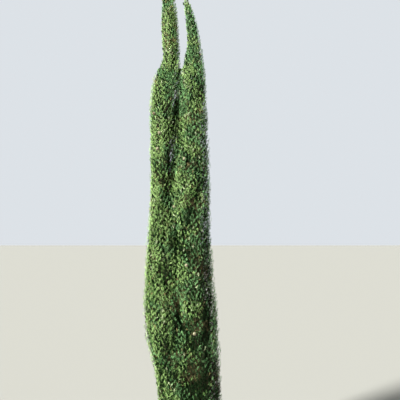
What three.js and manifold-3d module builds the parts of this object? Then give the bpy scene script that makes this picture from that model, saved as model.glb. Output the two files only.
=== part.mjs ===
// Italian cypress with two leaders, as one assembly of limbs and foliage masses. Millimetres, +Z up.
// The origin is on the flat cut under the trunk, at ground level, and +Y points to the back of the tree.
// The trunk bends to the left and runs to the taller tip. The right leader leaves it low down.
// Each foliage mass is a plume: a slim upright flame of sprays round its own stem. Every point of a plume
// lies nearer to that stem than to any other, so plumes never meet, and dark seams part them.
import * as THREE from "three";
import { mergeVertices } from "three/addons/utils/BufferGeometryUtils.js";
import Module from "manifold-3d";

// Limb lines, as [height, x, y] stations
const TRUNK_LINE = [
  [0, 0, 0],
  [150, -5, 2],
  [350, -24, 8],
  [620, -78, 14],
  [1030, -140, 18],
  [1550, -166, 10],
  [2080, -166, 16],
  [2500, -152, 12],
  [2900, -120, 6],
  [3150, -127, 4],
];
const LEADER_LINE = [
  [200, -6, 3],
  [330, 24, -4],
  [520, 62, -12],
  [900, 66, -20],
  [1300, 46, -12],
  [1816, 27, -16],
  [2300, 36, -8],
  [2750, 46, -4],
  [2960, 34, -6],
  [3070, 16, -8],
];

// Crown outlines, as [height, x, y, half width, half depth] stations from the foot to the tip
const LEFT_CROWN = [
  [60, -22, 0, 46, 50],
  [160, -36, 4, 80, 96],
  [400, -70, 8, 100, 124],
  [714, -102, 12, 106, 132],
  [1030, -155, 16, 125, 134],
  [1550, -163, 10, 101, 120],
  [1816, -166, 12, 83, 110],
  [2083, -168, 14, 82, 102],
  [2390, -158, 12, 96, 94],
  [2630, -146, 10, 86, 80],
  [2790, -113, 8, 56, 56],
  [2900, -118, 6, 61, 58],
  [3190, -128, 4, 46, 44],
  [3400, -150, 0, 8, 8],
];
const RIGHT_CROWN = [
  [60, 22, 0, 46, 50],
  [160, 58, -4, 88, 98],
  [300, 78, -8, 120, 124],
  [526, 82, -12, 138, 140],
  [904, 56, -16, 149, 146],
  [1160, 43, -14, 147, 142],
  [1550, 22, -14, 136, 132],
  [1816, 24, -16, 131, 122],
  [2083, 28, -12, 117, 110],
  [2390, 38, -8, 98, 94],
  [2629, 38, -6, 84, 78],
  [2768, 48, -4, 60, 56],
  [2907, 42, -6, 46, 44],
  [3100, 12, -8, 32, 30],
  [3230, -26, -12, 6, 6],
];

// Limb thickness
const TRUNK_FOOT_RADIUS = 24;
const TRUNK_TIP_RADIUS = 3;
const TRUNK_TAPER = 0.9;
const FLARE_RADIUS = 15;
const FLARE_HEIGHT = 70;
const FLARE_LOBES = 5;
const FLARE_LOBE_DEPTH = 0.35;
const FLARE_TURN = 0.7;
const LEADER_FOOT_RADIUS = 17;
const LEADER_TIP_RADIUS = 2.6;
const LEADER_TAPER = 0.85;
const BOUGH_RADIUS = 8;
const STEM_RADIUS = 4.5;
const STEM_END_RADIUS = 3;
const TIP_STEM_RADIUS = 2.4;
const TIP_STEM_END_RADIUS = 1.6;
const JOINT_GAP = 0.35;

// Plumes: how they are set round their leader, and how long they are
const PLUMES = 22;
const BOUGHS = 6;
const LOWEST_ROOT = 95;
const SKIRT_PLUMES = 4;
const SKIRT_STEP = 14;
const ROOT_SPREAD = 0.94;
const PLUME_LENGTH_LOW = 860;
const PLUME_LENGTH_HIGH = 450;
const PLUME_REACH = 0.6;
const REACH_SWAY = 0.08;
const BEARING_SWAY = 0.25;
const SWING_FROM = -0.12;
const SWING_TO = 0.26;
const BOUGH_SHARE = 0.14;
const STEM_SHARE = 0.42;
const TIP_STEM_SHARE = 0.3;
const GOLDEN_ANGLE = Math.PI * (3 - Math.sqrt(5));
const GOLDEN_SHARE = 0.6180339887;
const PLASTIC_SHARE = 0.7548776662;

// Cores: the dense hearts of the plumes
const CORE_START_LOW = 0.08;
const CORE_START_HIGH = 0.17;
const CORE_START_HEIGHTS = [100, 600];
const TIP_CORE_START = 0.04;
const CORE_END = 0.985;
const CORE_SHARE = 0.5;
const CORE_ROOM = 1.7;
const CORE_FILL = 0.81;
const CORE_LEAST = 2.4;
const CORE_WAVE = 0.08;
const CORE_TWIST = 0.45;
const CELL_MARGIN = 2.5;
const LIMB_MARGIN = 3;

// Sprays: each solid blade stands for a spray of fine shoots. Their tips lie on the crown outline.
const SPRAY_AREA = 7200;
const SPRAY_RISE = 92;
const SPRAY_RISE_SPREAD = 40;
const SPRAY_ROOT = 0.76;
const SPRAY_HIGHEST_ROOT = 0.94;
const SPRAY_FILL = 1.01;
const SPRAY_FILL_SPREAD = 0.08;
const SPRAY_WIDTH_SHARE = 0.16;
const SPRAY_THICKNESS_SHARE = 0.06;
const BELLY = 0.55;
const SEAM = 2;

// Seed cones, as [x, height, side of the crown], where -1 is the front and 1 is the back
const CONE_RADIUS = 13;
const CONE_TURN = 0.35;
const CONES = [
  [-226, 2374, -1],
  [-180, 2230, -1],
  [-185, 2145, -1],
  [-18, 2061, -1],
  [-68, 1758, -1],
  [3, 1404, -1],
  [60, 976, -1],
  [-190, 2560, 1],
  [90, 2240, 1],
  [-215, 1820, 1],
  [120, 1500, 1],
  [-90, 1180, 1],
];

// Facets
const TRUNK_SIDES = 10;
const TRUNK_STEPS = 26;
const LEADER_SIDES = 8;
const LEADER_STEPS = 22;
const BOUGH_SIDES = 6;
const STEM_SIDES = 4;
const STEM_STEPS = 3;
const PLUME_STEPS = 14;
const CORE_SIDES = 7;
const CORE_RINGS = 7;

const BARK = new THREE.MeshStandardMaterial({ color: 0x6d5a48, roughness: 0.92, metalness: 0 });
const FOLIAGE = new THREE.MeshStandardMaterial({ color: 0x54703a, roughness: 0.85, metalness: 0 });

const wasm = await Module();
wasm.setup();

const { clamp, lerp, smootherstep } = THREE.MathUtils;
const share = (value, low, high) => clamp((value - low) / (high - low), 0, 1);
const first = (list) => list[0];
const last = (list) => list[list.length - 1];
const levelTowards = (angle) => new THREE.Vector3(Math.cos(angle), Math.sin(angle), 0);

// Value of one column of a station list at a height, on a smooth curve through the stations
function along(stations, height, column) {
  const end = stations.length - 1;
  const z = clamp(height, stations[0][0], stations[end][0]);
  let i = 0;
  while (i < end - 1 && stations[i + 1][0] < z) i += 1;
  const slope = (k) => {
    const a = stations[Math.max(k - 1, 0)];
    const b = stations[Math.min(k + 1, end)];
    return (b[column] - a[column]) / (b[0] - a[0]);
  };
  const span = stations[i + 1][0] - stations[i][0];
  const t = (z - stations[i][0]) / span;
  const low = stations[i][column] * (1 + 2 * t) * (1 - t) ** 2;
  const high = stations[i + 1][column] * (3 - 2 * t) * t ** 2;
  const bend = slope(i) * t * (1 - t) ** 2 - slope(i + 1) * t ** 2 * (1 - t);
  return low + high + bend * span;
}

const lineAt = (line, z) => new THREE.Vector3(along(line, z, 1), along(line, z, 2), z);

// A place inside a crown: fill is 0 on its middle line and 1 on its outline
function crownPlace(crown, z, angle, fill) {
  const x = along(crown, z, 1) + fill * along(crown, z, 3) * Math.cos(angle);
  const y = along(crown, z, 2) + fill * along(crown, z, 4) * Math.sin(angle);
  return new THREE.Vector3(x, y, z);
}

// How far out of a crown a point lies: 1 is on the outline
function crownShare(crown, point) {
  const across = (point.x - along(crown, point.z, 1)) / along(crown, point.z, 3);
  const deep = (point.y - along(crown, point.z, 2)) / along(crown, point.z, 4);
  return Math.hypot(across, deep);
}

// A limb is an axis of points with a radius at each
function limbAlong(line, footRadius, tipRadius, taper, steps) {
  const low = first(line)[0];
  const high = last(line)[0];
  const heights = Array.from({ length: steps + 1 }, (_, i) => lerp(low, high, i / steps));
  const radii = heights.map((z) => lerp(tipRadius, footRadius, (1 - share(z, low, high)) ** taper));
  return { points: heights.map((z) => lineAt(line, z)), radii };
}

const trunk = limbAlong(TRUNK_LINE, TRUNK_FOOT_RADIUS, TRUNK_TIP_RADIUS, TRUNK_TAPER, TRUNK_STEPS);
const leader = limbAlong(LEADER_LINE, LEADER_FOOT_RADIUS, LEADER_TIP_RADIUS, LEADER_TAPER, LEADER_STEPS);

// Distance from a point to the nearest place on an axis, less the radius there
function clearance(axis, point) {
  let best = Infinity;
  const { points, radii } = axis;
  for (let i = 0; i < points.length - 1; i += 1) {
    const a = points[i];
    const b = points[i + 1];
    const dx = b.x - a.x;
    const dy = b.y - a.y;
    const dz = b.z - a.z;
    const px = point.x - a.x;
    const py = point.y - a.y;
    const pz = point.z - a.z;
    const t = clamp((px * dx + py * dy + pz * dz) / (dx * dx + dy * dy + dz * dz), 0, 1);
    const gap = Math.hypot(px - t * dx, py - t * dy, pz - t * dz) - lerp(radii[i], radii[i + 1], t);
    best = Math.min(best, gap);
  }
  return best;
}

// Point, direction and radius at a share of an axis
function axisAt(axis, s) {
  const end = axis.points.length - 1;
  const place = clamp(s, 0, 1) * end;
  const i = Math.min(Math.floor(place), end - 1);
  const t = place - i;
  const point = axis.points[i].clone().lerp(axis.points[i + 1], t);
  const direction = axis.points[i + 1].clone().sub(axis.points[i]).normalize();
  return { point, direction, radius: lerp(axis.radii[i], axis.radii[i + 1], t) };
}

// Width of a plume along its core, from 0 at both ends to about 1 past its middle
const flameProfile = (t) => (t <= 0 || t >= 1 ? 0 : 2.3 * t ** 0.7 * (1 - t) ** 0.62);

// A plume leaves its leader, swings out and climbs inside the crown. The lowest ones make a skirt.
function makePlume(side, index) {
  const { crown, line } = side;
  const rise = Math.max(index - SKIRT_PLUMES + 1, 0) / (PLUMES - SKIRT_PLUMES);
  const skirt = LOWEST_ROOT + SKIRT_STEP * Math.min(index, SKIRT_PLUMES - 1);
  const root = lerp(skirt, side.highestRoot, rise ** ROOT_SPREAD);
  const coreStart = lerp(CORE_START_LOW, CORE_START_HIGH, share(root, ...CORE_START_HEIGHTS));
  const length = lerp(PLUME_LENGTH_LOW, PLUME_LENGTH_HIGH, rise);
  const bearing = side.firstBearing + index * GOLDEN_ANGLE;
  const points = [];
  const radii = [];
  for (let i = 0; i <= PLUME_STEPS; i += 1) {
    const s = i / PLUME_STEPS;
    const z = root + length * s;
    const angle = bearing + BEARING_SWAY * Math.sin(index + 2 * s);
    const fill = PLUME_REACH + REACH_SWAY * s * Math.cos(index * GOLDEN_ANGLE);
    const swing = i === 0 ? 0 : smootherstep(s, SWING_FROM, SWING_TO);
    points.push(lineAt(line, z).lerp(crownPlace(crown, z, angle, fill), swing));
    const flame = CORE_SHARE * along(crown, z, 3) * flameProfile((s - coreStart) / (1 - coreStart));
    radii.push(Math.max(lerp(STEM_RADIUS, STEM_END_RADIUS / 2, s), flame));
  }
  const name = `${side.name}_plume_${String(index + 1).padStart(2, "0")}`;
  const onBough = index >= SKIRT_PLUMES && index % 2 === 1 && index < SKIRT_PLUMES + BOUGHS * 2;
  return { name, points, radii, crown, length, index, coreStart, onBough, sprays: [], cones: [] };
}

// The tip plume carries on from the end of a leader to the tip of its crown
function makeTip(side) {
  const { crown, line } = side;
  const low = last(line)[0];
  const length = last(crown)[0] - low;
  const points = [];
  const radii = [];
  for (let i = 0; i <= PLUME_STEPS; i += 1) {
    const s = i / PLUME_STEPS;
    const z = low + length * s;
    points.push(lineAt(line, low).lerp(crownPlace(crown, z, 0, 0), s).setZ(z));
    radii.push(Math.max(TIP_STEM_END_RADIUS, CORE_SHARE * along(crown, z, 3) * flameProfile(0.1 + 0.85 * s)));
  }
  const name = `${side.name}_tip_plume`;
  const coreStart = TIP_CORE_START;
  return { name, points, radii, crown, length, index: 0, coreStart, isTip: true, sprays: [], cones: [] };
}

const LEFT = { name: "left", crown: LEFT_CROWN, line: TRUNK_LINE, highestRoot: 2860, firstBearing: 2.6 };
const RIGHT = { name: "right", crown: RIGHT_CROWN, line: LEADER_LINE, highestRoot: 2760, firstBearing: 0.4 };

const plumesOf = (side) => [...Array.from({ length: PLUMES }, (_, i) => makePlume(side, i)), makeTip(side)];
const plumes = [...plumesOf(LEFT), ...plumesOf(RIGHT)];

const onLimb = (point) => clearance(trunk, point) < LIMB_MARGIN || clearance(leader, point) < LIMB_MARGIN;

// True where a point is nearer to a plume's axis than to the others, inside the crown and off the limbs
function inCell(plume, point) {
  if (crownShare(plume.crown, point) > CORE_FILL || onLimb(point)) return false;
  const own = clearance(plume, point);
  return plumes.every((other) => other === plume || clearance(other, point) > own + CELL_MARGIN);
}

// The plume that a point belongs to, or nothing where it lies on a limb or on the seam between two plumes
function ownerOf(point) {
  if (onLimb(point)) return undefined;
  const ranked = plumes.map((plume) => ({ plume, gap: clearance(plume, point) })).sort((a, b) => a.gap - b.gap);
  return ranked[1].gap - ranked[0].gap > SEAM ? ranked[0].plume : undefined;
}

// How far the core of a plume reaches from its axis in a level direction, found by halving
function coreReach(plume, s, direction) {
  const { point, radius } = axisAt(plume, s);
  const wanted = Math.max(radius, CORE_LEAST) * CORE_ROOM;
  const fits = (reach) => inCell(plume, point.clone().addScaledVector(direction, reach));
  if (fits(wanted)) return wanted;
  let low = 0;
  let high = wanted;
  for (let i = 0; i < 9; i += 1) {
    const middle = (low + high) / 2;
    if (fits(middle)) low = middle;
    else high = middle;
  }
  return Math.max(low, CORE_LEAST);
}

// Sprays stand out of the cores, steeply upwards, spaced evenly over the outside of one crown
function placeSprays(side, otherCrown) {
  const { crown } = side;
  let height = first(crown)[0] + SPRAY_RISE;
  for (let k = 0; height < last(crown)[0]; k += 1) {
    const angle = side.firstBearing + k * GOLDEN_ANGLE;
    const fill = SPRAY_FILL + SPRAY_FILL_SPREAD * (((k * GOLDEN_SHARE) % 1) - 0.5);
    const tip = crownPlace(crown, height, angle, fill);
    height += SPRAY_AREA / (Math.PI * (along(crown, height, 3) + along(crown, height, 4)));
    const owner = ownerOf(tip);
    if (!owner || crownShare(otherCrown, tip) < 1) continue;
    const rise = SPRAY_RISE + SPRAY_RISE_SPREAD * (((k * PLASTIC_SHARE) % 1) - 0.5);
    const wanted = (tip.z - rise - first(owner.points).z) / owner.length;
    const s = clamp(wanted, owner.coreStart, SPRAY_HIGHEST_ROOT);
    const { point } = axisAt(owner, s);
    const aside = tip.clone().sub(point).setZ(0).normalize();
    const root = point.addScaledVector(aside, coreReach(owner, s, aside) * SPRAY_ROOT);
    const stays = [0.35, 0.7].every((t) => ownerOf(root.clone().lerp(tip, t)) === owner);
    if (stays) owner.sprays.push({ root, tip, outward: levelTowards(angle), plume: owner });
  }
}

// Seed cones sit on the outer side of the spray nearest to their place
function placeCones() {
  const seats = plumes.flatMap((plume) => plume.sprays);
  for (const [x, height, facing] of CONES) {
    const turned = seats.filter(({ outward }) => outward.y * facing > CONE_TURN);
    const farness = ({ root, tip }) => {
      const belly = root.clone().lerp(tip, BELLY);
      return Math.hypot(belly.x - x, belly.z - height);
    };
    const seat = turned.reduce((best, next) => (farness(next) < farness(best) ? next : best));
    const centre = seat.root.clone().lerp(seat.tip, BELLY).addScaledVector(seat.outward, CONE_RADIUS / 2);
    seat.plume.cones.push(centre);
  }
}

// Geometry turned into a manifold-3d solid, and back
function solidOf(geometry) {
  const bare = geometry.clone();
  bare.deleteAttribute("normal");
  bare.deleteAttribute("uv");
  const merged = mergeVertices(bare, 1e-3);
  return new wasm.Manifold(
    new wasm.Mesh({
      numProp: 3,
      vertProperties: merged.attributes.position.array,
      triVerts: new Uint32Array(merged.index.array),
    }),
  );
}

function geometryOf(solid) {
  const { numProp, numVert, vertProperties, triVerts } = solid.getMesh();
  const places = new Float32Array(numVert * 3);
  for (let i = 0; i < numVert; i += 1) places.set(vertProperties.subarray(i * numProp, i * numProp + 3), i * 3);
  const geometry = new THREE.BufferGeometry();
  geometry.setAttribute("position", new THREE.BufferAttribute(places, 3));
  geometry.setIndex(new THREE.BufferAttribute(new Uint32Array(triVerts), 1));
  geometry.computeVertexNormals();
  return geometry;
}

// Moves each vertex of a unit shape to where place(vertex) says
function shaped(geometry, place) {
  const position = geometry.getAttribute("position");
  const vertex = new THREE.Vector3();
  for (let i = 0; i < position.count; i += 1) {
    vertex.fromBufferAttribute(position, i);
    const moved = place(vertex);
    position.setXYZ(i, moved.x, moved.y, moved.z);
  }
  return geometry;
}

// A tapering limb with level rings. relief(angle, z) adds to the radius, and grow makes a cutter larger.
function limbSolid(axis, sides, relief, grow) {
  const steps = axis.points.length - 1;
  return solidOf(
    shaped(new THREE.CylinderGeometry(1, 1, 1, sides, steps), (v) => {
      const i = Math.round((v.y + 0.5) * steps);
      const angle = Math.atan2(v.x, v.z);
      const radius = Math.hypot(v.x, v.z) * (axis.radii[i] + relief(angle, axis.points[i].z) + grow);
      const aside = new THREE.Vector3(Math.sin(angle), -Math.cos(angle), 0);
      return axis.points[i].clone().addScaledVector(aside, radius);
    }),
  );
}

// A slim tube between two shares of a plume's axis
function stemSolid(plume, from, to, startRadius, endRadius, sides) {
  return solidOf(
    shaped(new THREE.CylinderGeometry(1, 1, 1, sides, STEM_STEPS), (v) => {
      const t = v.y + 0.5;
      const { point, direction } = axisAt(plume, lerp(from, to, t));
      const side = new THREE.Vector3(0, 1, 0).cross(direction).normalize();
      const front = direction.clone().cross(side);
      const radius = lerp(startRadius, endRadius, t);
      return point.addScaledVector(side, v.z * radius).addScaledVector(front, v.x * radius);
    }),
  );
}

// The dense heart of a plume: a spindle pressed into shape by its neighbours
function coreSolid(plume, grow) {
  return solidOf(
    shaped(new THREE.SphereGeometry(1, CORE_SIDES, CORE_RINGS), (v) => {
      const ring = Math.acos(clamp(-v.y, -1, 1)) / Math.PI;
      const s = lerp(plume.coreStart, CORE_END, ring);
      const { point } = axisAt(plume, s);
      if (Math.hypot(v.x, v.z) < 1e-6) return point;
      const angle = Math.atan2(v.z, v.x) - Math.round(ring * CORE_RINGS) * CORE_TWIST - plume.index;
      const aside = new THREE.Vector3(Math.cos(angle), -Math.sin(angle), 0);
      const wave = 1 - CORE_WAVE * Math.abs(Math.sin(3 * angle + 5 * ring + plume.index));
      return point.addScaledVector(aside, coreReach(plume, s, aside) * wave + grow);
    }),
  );
}

// One blade of six faces from a root to a tip, with a keel along its outer side
function bladeSolid({ root, tip, outward }, grow) {
  const length = tip.clone().sub(root);
  const reach = length.length();
  const end = tip.clone().addScaledVector(length, grow / reach);
  const across = length.clone().cross(outward).setLength(SPRAY_WIDTH_SHARE * reach + grow);
  const inward = length.clone().cross(across).setLength(SPRAY_THICKNESS_SHARE * reach + grow);
  const belly = root.clone().addScaledVector(length, BELLY);
  return solidOf(
    shaped(new THREE.SphereGeometry(1, 3, 2), (v) => {
      if (v.y > 0.5) return end;
      if (v.y < -0.5) return root;
      return belly.clone().addScaledVector(across, v.z).addScaledVector(inward, v.x);
    }),
  );
}

function coneSolid(centre, grow) {
  const ball = new THREE.DodecahedronGeometry(CONE_RADIUS + grow);
  return solidOf(ball.translate(...centre));
}

function foliageSolid(plume, grow) {
  const sprays = plume.sprays.map((spray) => bladeSolid(spray, grow));
  const cones = plume.cones.map((centre) => coneSolid(centre, grow));
  return wasm.Manifold.union([coreSolid(plume, grow), ...sprays, ...cones]);
}

// The woody part of a plume: its bough, if it has one, and the stem that its foliage is fused to
function woodOf(plume, grow) {
  const gap = JOINT_GAP / plume.length;
  const stem = (from, to, startRadius, endRadius) =>
    stemSolid(plume, from, to, startRadius + grow, endRadius + grow, STEM_SIDES);
  if (plume.isTip) return { stem: stem(gap, TIP_STEM_SHARE, TIP_STEM_RADIUS, TIP_STEM_END_RADIUS) };
  if (!plume.onBough) return { stem: stem(0, STEM_SHARE, STEM_RADIUS, STEM_END_RADIUS) };
  return {
    bough: stemSolid(plume, 0, BOUGH_SHARE, BOUGH_RADIUS + grow, STEM_RADIUS + grow, BOUGH_SIDES),
    stem: stem(BOUGH_SHARE + gap, STEM_SHARE, STEM_RADIUS, STEM_END_RADIUS),
  };
}

// The root flare swells the foot of the trunk in a few soft lobes
function flare(angle, z) {
  const lobes = 1 + FLARE_LOBE_DEPTH * Math.cos(FLARE_LOBES * angle + FLARE_TURN);
  return FLARE_RADIUS * Math.exp(-z / FLARE_HEIGHT) * lobes;
}

const smooth = () => 0;
const clearOf = (solid, cutters) =>
  cutters.reduce((rest, cutter) => (rest.intersect(cutter).isEmpty() ? rest : rest.subtract(cutter)), solid);

placeSprays(LEFT, RIGHT_CROWN);
placeSprays(RIGHT, LEFT_CROWN);
placeCones();

const tree = new THREE.Group();

// The largest body of a solid becomes a node, and scraps that a cut has parted from it are dropped
function addNode(name, solid, material) {
  const body = solid.decompose().reduce((best, next) => (next.volume() > best.volume() ? next : best));
  const mesh = new THREE.Mesh(geometryOf(body), material);
  mesh.name = name;
  tree.add(mesh);
}

const trunkCutter = limbSolid(trunk, TRUNK_SIDES, flare, JOINT_GAP);
const limbCutters = [trunkCutter, limbSolid(leader, LEADER_SIDES, smooth, JOINT_GAP)];
addNode("trunk", limbSolid(trunk, TRUNK_SIDES, flare, 0), BARK);
addNode("right_leader", limbSolid(leader, LEADER_SIDES, smooth, 0).subtract(trunkCutter), BARK);

// Each plume is cut clear of the wood of all the others and of the foliage of those made before it
const woodCutters = plumes.map((plume) => Object.values(woodOf(plume, JOINT_GAP)));
const foliageCutters = plumes.map((plume) => foliageSolid(plume, JOINT_GAP));

plumes.forEach((plume, i) => {
  const { bough, stem } = woodOf(plume, 0);
  const otherWood = woodCutters.filter((_, j) => j !== i).flat();
  const foliage = clearOf(foliageSolid(plume, 0), [...otherWood, ...foliageCutters.slice(0, i)]);
  if (bough) addNode(plume.name.replace("plume", "bough"), clearOf(bough, limbCutters), BARK);
  addNode(plume.name, clearOf(foliage.add(stem), limbCutters), FOLIAGE);
});

export default tree;
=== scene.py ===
import math
from collections import namedtuple

import bmesh
import bpy
import numpy as np
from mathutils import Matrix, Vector, noise


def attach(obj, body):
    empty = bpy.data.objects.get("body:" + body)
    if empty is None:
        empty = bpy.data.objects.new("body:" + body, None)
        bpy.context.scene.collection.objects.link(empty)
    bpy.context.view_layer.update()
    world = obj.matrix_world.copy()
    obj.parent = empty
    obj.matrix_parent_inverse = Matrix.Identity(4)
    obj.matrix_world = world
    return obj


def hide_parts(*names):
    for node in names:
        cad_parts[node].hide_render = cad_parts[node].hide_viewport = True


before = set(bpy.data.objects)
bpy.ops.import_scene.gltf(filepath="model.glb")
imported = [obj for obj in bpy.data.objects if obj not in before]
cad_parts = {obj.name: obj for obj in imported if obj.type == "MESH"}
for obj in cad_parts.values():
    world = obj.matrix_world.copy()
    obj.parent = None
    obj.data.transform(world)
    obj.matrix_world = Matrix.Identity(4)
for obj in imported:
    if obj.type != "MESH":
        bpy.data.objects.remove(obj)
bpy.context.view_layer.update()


# Trunk. One pole of wood in thin grey-brown bark, which splits into long shallow strips that turn a little
# round it. It flares into five lobes at the ground, where it is cut flat, then leans to the left and runs up
# inside the foliage to the taller tip.
MM = 0.001
TRUNK_LINE = MM * np.array([
    [0, 0, 0], [150, -5, 2], [350, -24, 8], [620, -78, 14], [1030, -140, 18],
    [1550, -166, 10], [2080, -166, 16], [2500, -152, 12], [2900, -120, 6], [3150, -127, 4],
])
TRUNK_FOOT_RADIUS = 24 * MM
TRUNK_TIP_RADIUS = 3 * MM
TRUNK_TAPER = 0.9
TRUNK_SIDES = 72
TRUNK_RINGS = 170
RING_CROWDING = 1.5
FLARE_RADIUS = 15 * MM
FLARE_HEIGHT = 70 * MM
FLARE_LOBES = 5
FLARE_LOBE_DEPTH = 0.35
FLARE_TURN = 0.7
STRIP_DEPTH = 0.055
STRIPS_ROUND = 5.0
STRIP_LENGTH = 60 * MM
STRIP_TWIST = 3.0
FURROW_DEPTH = 2.2
FURROW_SHARPNESS = 0.6
FIBRES_PER_STRIP = 3
FIBRE_LENGTH = STRIP_LENGTH / 2
FIBRE_SHIFT = 9
FIBRE_RELIEF = 0.5
BARK_GRAIN = 130
BARK_BROWN = (0.115, 0.075, 0.05, 1)
BARK_GREY = (0.27, 0.225, 0.18, 1)
BARK_FURROW = (0.035, 0.024, 0.018, 1)


def along(stations, height, column):
    """The smooth curve through one column of the stations, at each height."""
    end = len(stations) - 1
    z = np.clip(height, stations[0, 0], stations[end, 0])
    i = np.clip(np.searchsorted(stations[:, 0], z) - 1, 0, end - 1)

    def slope(k):
        a = stations[np.maximum(k - 1, 0)]
        b = stations[np.minimum(k + 1, end)]
        return (b[..., column] - a[..., column]) / (b[..., 0] - a[..., 0])

    span = stations[i + 1, 0] - stations[i, 0]
    t = (z - stations[i, 0]) / span
    low = stations[i, column] * (1 + 2 * t) * (1 - t) ** 2
    high = stations[i + 1, column] * (3 - 2 * t) * t ** 2
    bend = slope(i) * t * (1 - t) ** 2 - slope(i + 1) * t ** 2 * (1 - t)
    return low + high + bend * span


def line_at(line, z):
    """Places on a limb's own middle line at each height."""
    return np.stack([along(line, z, 1), along(line, z, 2), z], axis=-1)


def root_flare(angle, z):
    lobes = 1 + FLARE_LOBE_DEPTH * np.cos(FLARE_LOBES * angle + FLARE_TURN)
    return FLARE_RADIUS * np.exp(-z / FLARE_HEIGHT) * lobes


def bark_strips(angle, z):
    """How far the bark stands out at one place, from -1 in a furrow to 1 on a strip."""
    turned = angle + STRIP_TWIST * z
    round_x = STRIPS_ROUND * math.cos(turned)
    round_y = STRIPS_ROUND * math.sin(turned)
    coarse = noise.noise(Vector((round_x, round_y, z / STRIP_LENGTH)))
    fibre_x = FIBRES_PER_STRIP * round_x
    fibre_y = FIBRES_PER_STRIP * round_y
    fine = noise.noise(Vector((fibre_x, fibre_y, z / FIBRE_LENGTH + FIBRE_SHIFT)))
    return 1 - FURROW_DEPTH * abs(coarse) ** FURROW_SHARPNESS + FIBRE_RELIEF * fine


def bark_limb(name, points, radii, sides, flare=None):
    """A closed limb of level rings whose bark stands out in strips."""
    turns = np.linspace(0, 2 * math.pi, sides, endpoint=False)
    vertices = []
    for (x, y, z), radius in zip(points, radii):
        for angle in turns:
            reach = radius * (1 - STRIP_DEPTH + STRIP_DEPTH * bark_strips(angle, z))
            reach += flare(angle, z) if flare else 0
            vertices.append((x + reach * math.cos(angle), y + reach * math.sin(angle), z))
    faces = []
    for ring in range(len(points) - 1):
        for side in range(sides):
            a = ring * sides + side
            b = ring * sides + (side + 1) % sides
            faces.append((a, b, b + sides, a + sides))
    faces.append(tuple(reversed(range(sides))))
    faces.append(tuple(range((len(points) - 1) * sides, len(points) * sides)))
    mesh = bpy.data.meshes.new(name)
    mesh.from_pydata(vertices, [], faces)
    mesh.shade_smooth()
    limb = bpy.data.objects.new(name, mesh)
    bpy.context.scene.collection.objects.link(limb)
    return limb


def limb_rings(line, foot_radius, tip_radius, taper, rings):
    """Places and radii of a limb's rings, which lie closest together at its foot."""
    share = np.linspace(0, 1, rings) ** RING_CROWDING
    heights = line[0, 0] + share * (line[-1, 0] - line[0, 0])
    return line_at(line, heights), tip_radius + (foot_radius - tip_radius) * (1 - share) ** taper


def bark_material(name, brown, grey, furrow, strip_scale):
    """Strips that run up the limb, grey on top and dark in the furrows, with fine fibres across them."""
    material = bpy.data.materials.new(name)
    material.use_nodes = True
    nodes, links = material.node_tree.nodes, material.node_tree.links
    shader = nodes["Principled BSDF"]
    place = nodes.new("ShaderNodeTexCoord")
    stretch = nodes.new("ShaderNodeMapping")
    stretch.inputs["Scale"].default_value = (1, 1, 0.12)
    links.new(place.outputs["Object"], stretch.inputs["Vector"])
    strips = nodes.new("ShaderNodeTexNoise")
    strips.inputs["Scale"].default_value = strip_scale
    strips.inputs["Detail"].default_value = 6
    strips.inputs["Roughness"].default_value = 0.65
    links.new(stretch.outputs["Vector"], strips.inputs["Vector"])
    fibres = nodes.new("ShaderNodeTexNoise")
    fibres.inputs["Scale"].default_value = strip_scale * 6
    fibres.inputs["Detail"].default_value = 3
    links.new(stretch.outputs["Vector"], fibres.inputs["Vector"])
    tone = nodes.new("ShaderNodeValToRGB")
    tone.color_ramp.elements[0].position = 0.36
    tone.color_ramp.elements[0].color = furrow
    tone.color_ramp.elements[1].position = 0.66
    tone.color_ramp.elements[1].color = grey
    tone.color_ramp.elements.new(0.48).color = brown
    links.new(strips.outputs["Fac"], tone.inputs["Fac"])
    fleck = nodes.new("ShaderNodeMix")
    fleck.data_type = "RGBA"
    fleck.blend_type = "OVERLAY"
    fleck.inputs["Factor"].default_value = 0.5
    links.new(tone.outputs["Color"], fleck.inputs[6])
    links.new(fibres.outputs["Fac"], fleck.inputs[7])
    links.new(fleck.outputs[2], shader.inputs["Base Color"])
    shader.inputs["Roughness"].default_value = 0.9
    shader.inputs["Specular IOR Level"].default_value = 0.25
    height = nodes.new("ShaderNodeMath")
    height.operation = "MULTIPLY_ADD"
    height.inputs[1].default_value = 0.35
    links.new(fibres.outputs["Fac"], height.inputs[0])
    links.new(strips.outputs["Fac"], height.inputs[2])
    bump = nodes.new("ShaderNodeBump")
    bump.inputs["Strength"].default_value = 0.7
    bump.inputs["Distance"].default_value = 0.0015
    links.new(height.outputs["Value"], bump.inputs["Height"])
    links.new(bump.outputs["Normal"], shader.inputs["Normal"])
    return material


BARK = bark_material("bark", BARK_BROWN, BARK_GREY, BARK_FURROW, BARK_GRAIN)
trunk_points, trunk_radii = limb_rings(
    TRUNK_LINE, TRUNK_FOOT_RADIUS, TRUNK_TIP_RADIUS, TRUNK_TAPER, TRUNK_RINGS)
trunk = bark_limb("trunk_bark", trunk_points, trunk_radii, TRUNK_SIDES, root_flare)
trunk.data.materials.append(BARK)
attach(trunk, "root")
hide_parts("trunk")


# Right leader. A second, slimmer pole of the same wood and bark. It leaves the trunk a hand above the ground
# and carries the right spire.
LEADER_LINE = MM * np.array([
    [200, -6, 3], [330, 24, -4], [520, 62, -12], [900, 66, -20], [1300, 46, -12],
    [1816, 27, -16], [2300, 36, -8], [2750, 46, -4], [2960, 34, -6], [3070, 16, -8],
])
LEADER_FOOT_RADIUS = 17 * MM
LEADER_TIP_RADIUS = 2.6 * MM
LEADER_TAPER = 0.85
LEADER_SIDES = 48
LEADER_RINGS = 150

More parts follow.
